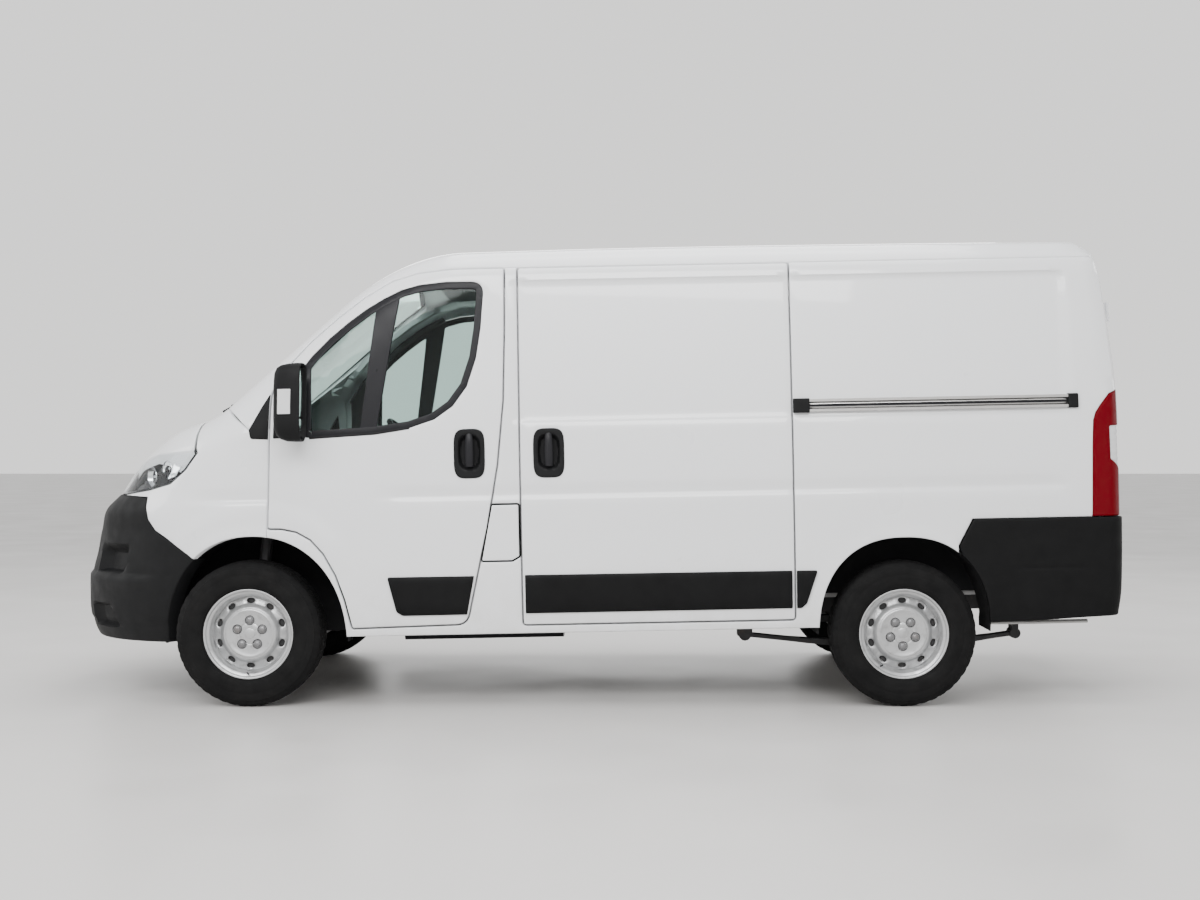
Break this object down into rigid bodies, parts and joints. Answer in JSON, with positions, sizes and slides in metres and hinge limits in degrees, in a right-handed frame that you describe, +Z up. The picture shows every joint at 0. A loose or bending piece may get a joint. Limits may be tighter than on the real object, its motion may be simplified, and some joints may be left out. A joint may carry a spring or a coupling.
{
  "type": "panel van",
  "caption": "Short-wheelbase panel van with a low roof, side-loading door, hinged rear doors, furnished cab and steel wheels.",
  "frame": {"origin": "on the ground under the middle of the van", "axes": "+X towards the rear, +Y towards the van's right-hand side, +Z up"},
  "size_m": [4.966, 2.496, 2.2026],
  "materials": {
    "body_paint": "gloss white",
    "black_plastic": "fine grain black",
    "gloss_black": "gloss black",
    "window_glass": "green-tinted glass",
    "lamp_lens": "clear moulded lens",
    "tail_lens": "clear red lens",
    "lamp_reflector": "metallised",
    "tyre_rubber": "matt rubber",
    "wheel_steel": "silver paint",
    "underbody_steel": "black underbody paint",
    "exhaust_steel": "dull, heat-stained",
    "engine_metal": "dull cast metal",
    "floor_metal": "primer grey",
    "wheel_liner": "moulded black felted plastic",
    "cab_trim": "grained dark grey",
    "seat_fabric": "woven dark grey",
    "rail_aluminium": "satin",
    "mirror_glass": "mirror"
  },
  "bodies": {
    "van_body": {"roof": "body_paint", "side_panel_left": "body_paint", "side_panel_right": "body_paint", "sliding_door": "body_paint", "fender_left": "body_paint", "fender_right": "body_paint", "nose_panel": "black_plastic", "front_bumper": "black_plastic", "grille": "black_plastic", "headlamp_left": "lamp_lens", "headlamp_right": "lamp_lens", "rear_bumper": "black_plastic", "tail_lamp_left": "tail_lens", "tail_lamp_right": "tail_lens", "windscreen": "window_glass", "cowl": "black_plastic", "floor": "floor_metal", "front_structure": "wheel_liner", "bulkhead": "body_paint", "dashboard": "cab_trim", "driver_seat": "seat_fabric", "passenger_bench": "seat_fabric", "engine": "engine_metal", "chassis_rails": "underbody_steel", "exhaust": "exhaust_steel", "fuel_tank": "black_plastic", "front_subframe": "underbody_steel", "rear_axle": "underbody_steel"},
    "bonnet": {"bonnet": "body_paint"},
    "fuel_flap": {"fuel_flap": "body_paint"},
    "steering_wheel": {"steering_wheel": "cab_trim"},
    "left_front_door": {"front_door_left": "body_paint", "door_window_left": "window_glass", "mirror_left": "black_plastic"},
    "left_rear_door": {"rear_door_left": "body_paint"},
    "left_knuckle": {"knuckle_left": "underbody_steel"},
    "front_left_wheel": {"tyre_front_left": "tyre_rubber", "rim_front_left": "wheel_steel"},
    "rear_left_wheel": {"tyre_rear_left": "tyre_rubber", "rim_rear_left": "wheel_steel"},
    "right_front_door": {"front_door_right": "body_paint", "door_window_right": "window_glass", "mirror_right": "black_plastic"},
    "right_rear_door": {"rear_door_right": "body_paint"},
    "right_knuckle": {"knuckle_right": "underbody_steel"},
    "front_right_wheel": {"tyre_front_right": "tyre_rubber", "rim_front_right": "wheel_steel"},
    "rear_right_wheel": {"tyre_rear_right": "tyre_rubber", "rim_rear_right": "wheel_steel"}
  },
  "joints": [
    {"name": "left_front_door_hinge", "type": "hinge", "parent": "van_body", "child": "left_front_door", "pos_m": [-1.44414, -1.03, 1.1018], "axis": [0.0192, 0, -0.9998], "range_deg": [0, 70]},
    {"name": "right_front_door_hinge", "type": "hinge", "parent": "van_body", "child": "right_front_door", "pos_m": [-1.44414, 1.03, 1.1018], "axis": [-0.0192, 0, 0.9998], "range_deg": [0, 70]},
    {"name": "left_rear_door_hinge", "type": "hinge", "parent": "van_body", "child": "left_rear_door", "pos_m": [2.46422, -0.8035, 1.27686], "axis": [0.0192, 0, -0.9998], "range_deg": [0, 180]},
    {"name": "right_rear_door_hinge", "type": "hinge", "parent": "van_body", "child": "right_rear_door", "pos_m": [2.46422, 0.8035, 1.27686], "axis": [-0.0192, 0, 0.9998], "range_deg": [0, 180]},
    {"name": "bonnet_hinge", "type": "hinge", "parent": "van_body", "child": "bonnet", "pos_m": [-1.6996, 0, 1.33194], "axis": [0, 1, 0], "range_deg": [0, 55]},
    {"name": "fuel_flap_hinge", "type": "hinge", "parent": "van_body", "child": "fuel_flap", "pos_m": [-0.29213, -1.029, 0.79986], "axis": [-0.0192, 0, 0.9998], "range_deg": [0, 100]},
    {"name": "left_steer", "type": "hinge", "parent": "van_body", "child": "left_knuckle", "pos_m": [-1.5304, -0.848, 0.2], "axis": [0.0383, 0.275, 0.9607], "range_deg": [-35, 35]},
    {"name": "right_steer", "type": "hinge", "parent": "van_body", "child": "right_knuckle", "pos_m": [-1.5304, 0.848, 0.2], "axis": [0.0383, -0.275, 0.9607], "range_deg": [-35, 35]},
    {"name": "steering_wheel_turn", "type": "hinge", "parent": "van_body", "child": "steering_wheel", "pos_m": [-0.94705, 0.44, 1.20636], "axis": [0.6547, 0, 0.7559], "range_deg": [-490, 490]},
    {"name": "front_left_wheel_spin", "type": "hinge", "parent": "left_knuckle", "child": "front_left_wheel", "pos_m": [-1.5304, -0.905, 0.33313], "axis": [0, 1, 0], "continuous": true},
    {"name": "rear_left_wheel_spin", "type": "hinge", "parent": "van_body", "child": "rear_left_wheel", "pos_m": [1.4696, -0.895, 0.33313], "axis": [0, 1, 0], "continuous": true},
    {"name": "front_right_wheel_spin", "type": "hinge", "parent": "right_knuckle", "child": "front_right_wheel", "pos_m": [-1.5304, 0.905, 0.33313], "axis": [0, 1, 0], "continuous": true},
    {"name": "rear_right_wheel_spin", "type": "hinge", "parent": "van_body", "child": "rear_right_wheel", "pos_m": [1.4696, 0.895, 0.33313], "axis": [0, 1, 0], "continuous": true}
  ],
  "couplings": [
    {"joint": "right_steer", "follows": "left_steer", "ratio": 1},
    {"joint": "steering_wheel_turn", "follows": "left_steer", "ratio": 14}
  ]
}
